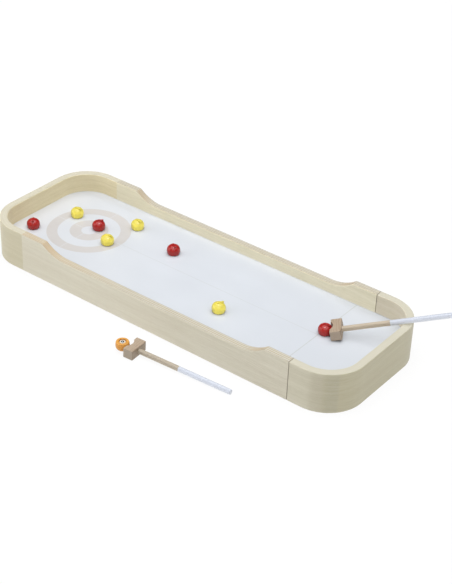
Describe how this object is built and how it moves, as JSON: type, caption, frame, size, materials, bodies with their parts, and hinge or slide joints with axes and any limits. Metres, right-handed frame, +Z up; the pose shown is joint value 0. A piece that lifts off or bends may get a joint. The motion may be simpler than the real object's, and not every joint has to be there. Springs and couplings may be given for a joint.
{
  "type": "tabletop bowling and curling game",
  "caption": "Long wooden lane tray with a white target board, raised ends and a pull-out storage end, with curling stones on steel balls, a bowling ball, pins and pusher mallets.",
  "frame": {"origin": "on the table under the middle of the tray's flat underside", "axes": "+X along the lane towards the near end that pulls out, +Y towards the back rail, +Z up from the table"},
  "size_m": [0.9347, 0.393, 0.1186],
  "materials": {
    "board_white": "white melamine-faced board, satin, with printed beige rings and thin lines",
    "bent_laminate": "bent birch laminate, satin clear varnish",
    "rail_plywood": "birch plywood, satin clear varnish, plies visible on the edges",
    "panel_ply": "thin birch plywood, raw",
    "drawer_ply": "thin birch plywood, sanded",
    "dowel_wood": "beech dowel, raw",
    "magnet_nickel": "nickel plated disc magnet",
    "screw_zinc": "zinc plated",
    "mallet_wood": "solid ash, sanded and oiled",
    "shaft_wood": "light dowel, its outer half painted white",
    "pin_white": "white lacquered beech with a red neck stripe",
    "stone_red": "high gloss red",
    "stone_yellow": "high gloss yellow",
    "ball_orange": "high gloss orange",
    "cup_plastic": "natural acetal",
    "roller_steel": "polished bearing steel"
  },
  "bodies": {
    "tray": {"playing_board": "board_white", "bottom_panel": "panel_ply", "far_end_rail": "bent_laminate", "side_rail_front": "rail_plywood", "side_rail_back": "rail_plywood", "cross_brace_middle": "rail_plywood", "cross_brace_far": "rail_plywood", "far_joint_dowels": "dowel_wood", "near_locating_dowels": "dowel_wood", "brace_dowels": "dowel_wood", "rail_magnets": "magnet_nickel", "bottom_screws": "screw_zinc"},
    "near_end_with_drawer": {"near_end_rail": "bent_laminate", "end_rail_magnets": "magnet_nickel", "drawer_floor": "drawer_ply", "drawer_side_front": "drawer_ply", "drawer_side_back": "drawer_ply", "drawer_back": "drawer_ply", "drawer_front_board": "drawer_ply", "divider_pins": "drawer_ply", "divider_mallets": "drawer_ply", "pin_rack": "mallet_wood", "bowling_pins": "pin_white"},
    "red_stone_1": {"red_stone_1": "stone_red", "red_stone_1_cup": "cup_plastic"},
    "red_stone_1_steel_ball": {"red_stone_1_roller": "roller_steel"},
    "red_stone_2": {"red_stone_2": "stone_red", "red_stone_2_cup": "cup_plastic"},
    "red_stone_2_steel_ball": {"red_stone_2_roller": "roller_steel"},
    "red_stone_3": {"red_stone_3": "stone_red", "red_stone_3_cup": "cup_plastic"},
    "red_stone_3_steel_ball": {"red_stone_3_roller": "roller_steel"},
    "red_stone_4": {"red_stone_4": "stone_red", "red_stone_4_cup": "cup_plastic"},
    "red_stone_4_steel_ball": {"red_stone_4_roller": "roller_steel"},
    "yellow_stone_1": {"yellow_stone_1": "stone_yellow", "yellow_stone_1_cup": "cup_plastic"},
    "yellow_stone_1_steel_ball": {"yellow_stone_1_roller": "roller_steel"},
    "yellow_stone_2": {"yellow_stone_2": "stone_yellow", "yellow_stone_2_cup": "cup_plastic"},
    "yellow_stone_2_steel_ball": {"yellow_stone_2_roller": "roller_steel"},
    "yellow_stone_3": {"yellow_stone_3": "stone_yellow", "yellow_stone_3_cup": "cup_plastic"},
    "yellow_stone_3_steel_ball": {"yellow_stone_3_roller": "roller_steel"},
    "yellow_stone_4": {"yellow_stone_4": "stone_yellow", "yellow_stone_4_cup": "cup_plastic"},
    "yellow_stone_4_steel_ball": {"yellow_stone_4_roller": "roller_steel"},
    "bowling_ball": {"bowling_ball": "ball_orange", "bowling_ball_cup": "cup_plastic"},
    "bowling_ball_steel_ball": {"bowling_ball_roller": "roller_steel"},
    "tray_mallet": {"tray_mallet_head": "mallet_wood", "tray_mallet_shaft": "shaft_wood"},
    "table_mallet": {"table_mallet_head": "mallet_wood", "table_mallet_shaft": "shaft_wood"}
  },
  "joints": [
    {"name": "near_end_slide", "type": "slide", "parent": "tray", "child": "near_end_with_drawer", "axis": [1, 0, 0], "range_m": [0, 0.3]},
    {"name": "red_stone_1_slide", "type": "slide", "parent": "tray", "child": "red_stone_1", "axis": [1, 0, 0], "range_m": [-0.02, 0.3]},
    {"name": "red_stone_1_roll", "type": "hinge", "parent": "red_stone_1", "child": "red_stone_1_steel_ball", "pos_m": [-0.3814, -0.066, 0.04733], "axis": [0, 1, 0], "continuous": true},
    {"name": "red_stone_2_slide", "type": "slide", "parent": "tray", "child": "red_stone_2", "axis": [1, 0, 0], "range_m": [-0.035, 0.165]},
    {"name": "red_stone_2_roll", "type": "hinge", "parent": "red_stone_2", "child": "red_stone_2_steel_ball", "pos_m": [-0.2756, 0.0174, 0.04733], "axis": [0, 1, 0], "continuous": true},
    {"name": "red_stone_3_slide", "type": "slide", "parent": "tray", "child": "red_stone_3", "axis": [1, 0, 0], "range_m": [-0.1, 0.33]},
    {"name": "red_stone_3_roll", "type": "hinge", "parent": "red_stone_3", "child": "red_stone_3_steel_ball", "pos_m": [-0.0978, 0.0454, 0.04733], "axis": [0, 1, 0], "continuous": true},
    {"name": "red_stone_4_slide", "type": "slide", "parent": "tray", "child": "red_stone_4", "axis": [1, 0, 0], "range_m": [-0.48, 0]},
    {"name": "red_stone_4_roll", "type": "hinge", "parent": "red_stone_4", "child": "red_stone_4_steel_ball", "pos_m": [0.296, 0.0147, 0.04733], "axis": [0, 1, 0], "continuous": true},
    {"name": "yellow_stone_1_slide", "type": "slide", "parent": "tray", "child": "yellow_stone_1", "axis": [1, 0, 0], "range_m": [-0.05, 0.035]},
    {"name": "yellow_stone_1_roll", "type": "hinge", "parent": "yellow_stone_1", "child": "yellow_stone_1_steel_ball", "pos_m": [-0.3445, 0.0265, 0.04733], "axis": [0, 1, 0], "continuous": true},
    {"name": "yellow_stone_2_slide", "type": "slide", "parent": "tray", "child": "yellow_stone_2", "axis": [1, 0, 0], "range_m": [-0.17, 0.42]},
    {"name": "yellow_stone_2_roll", "type": "hinge", "parent": "yellow_stone_2", "child": "yellow_stone_2_steel_ball", "pos_m": [-0.2239, -0.0136, 0.04733], "axis": [0, 1, 0], "continuous": true},
    {"name": "yellow_stone_3_slide", "type": "slide", "parent": "tray", "child": "yellow_stone_3", "axis": [1, 0, 0], "range_m": [-0.18, 0.1]},
    {"name": "yellow_stone_3_roll", "type": "hinge", "parent": "yellow_stone_3", "child": "yellow_stone_3_steel_ball", "pos_m": [-0.2167, 0.0719, 0.04733], "axis": [0, 1, 0], "continuous": true},
    {"name": "yellow_stone_4_slide", "type": "slide", "parent": "tray", "child": "yellow_stone_4", "axis": [1, 0, 0], "range_m": [-0.44, 0.2]},
    {"name": "yellow_stone_4_roll", "type": "hinge", "parent": "yellow_stone_4", "child": "yellow_stone_4_steel_ball", "pos_m": [0.1007, -0.0585, 0.04733], "axis": [0, 1, 0], "continuous": true},
    {"name": "bowling_ball_lift", "type": "slide", "parent": "tray", "child": "bowling_ball", "axis": [0, 0, 1], "range_m": [0, 0.12]},
    {"name": "bowling_ball_roll", "type": "hinge", "parent": "bowling_ball", "child": "bowling_ball_steel_ball", "pos_m": [0.00665, -0.2272, 0.01753], "axis": [0, 1, 0], "continuous": true},
    {"name": "tray_mallet_lift", "type": "slide", "parent": "tray", "child": "tray_mallet", "axis": [0, 0, 1], "range_m": [0, 0.12]},
    {"name": "table_mallet_lift", "type": "slide", "parent": "tray", "child": "table_mallet", "axis": [0, 0, 1], "range_m": [0, 0.12]}
  ],
  "couplings": [
    {"joint": "red_stone_1_roll", "follows": "red_stone_1_slide", "rad_per_m": 250},
    {"joint": "red_stone_2_roll", "follows": "red_stone_2_slide", "rad_per_m": 250},
    {"joint": "red_stone_3_roll", "follows": "red_stone_3_slide", "rad_per_m": 250},
    {"joint": "red_stone_4_roll", "follows": "red_stone_4_slide", "rad_per_m": 250},
    {"joint": "yellow_stone_1_roll", "follows": "yellow_stone_1_slide", "rad_per_m": 250},
    {"joint": "yellow_stone_2_roll", "follows": "yellow_stone_2_slide", "rad_per_m": 250},
    {"joint": "yellow_stone_3_roll", "follows": "yellow_stone_3_slide", "rad_per_m": 250},
    {"joint": "yellow_stone_4_roll", "follows": "yellow_stone_4_slide", "rad_per_m": 250}
  ]
}
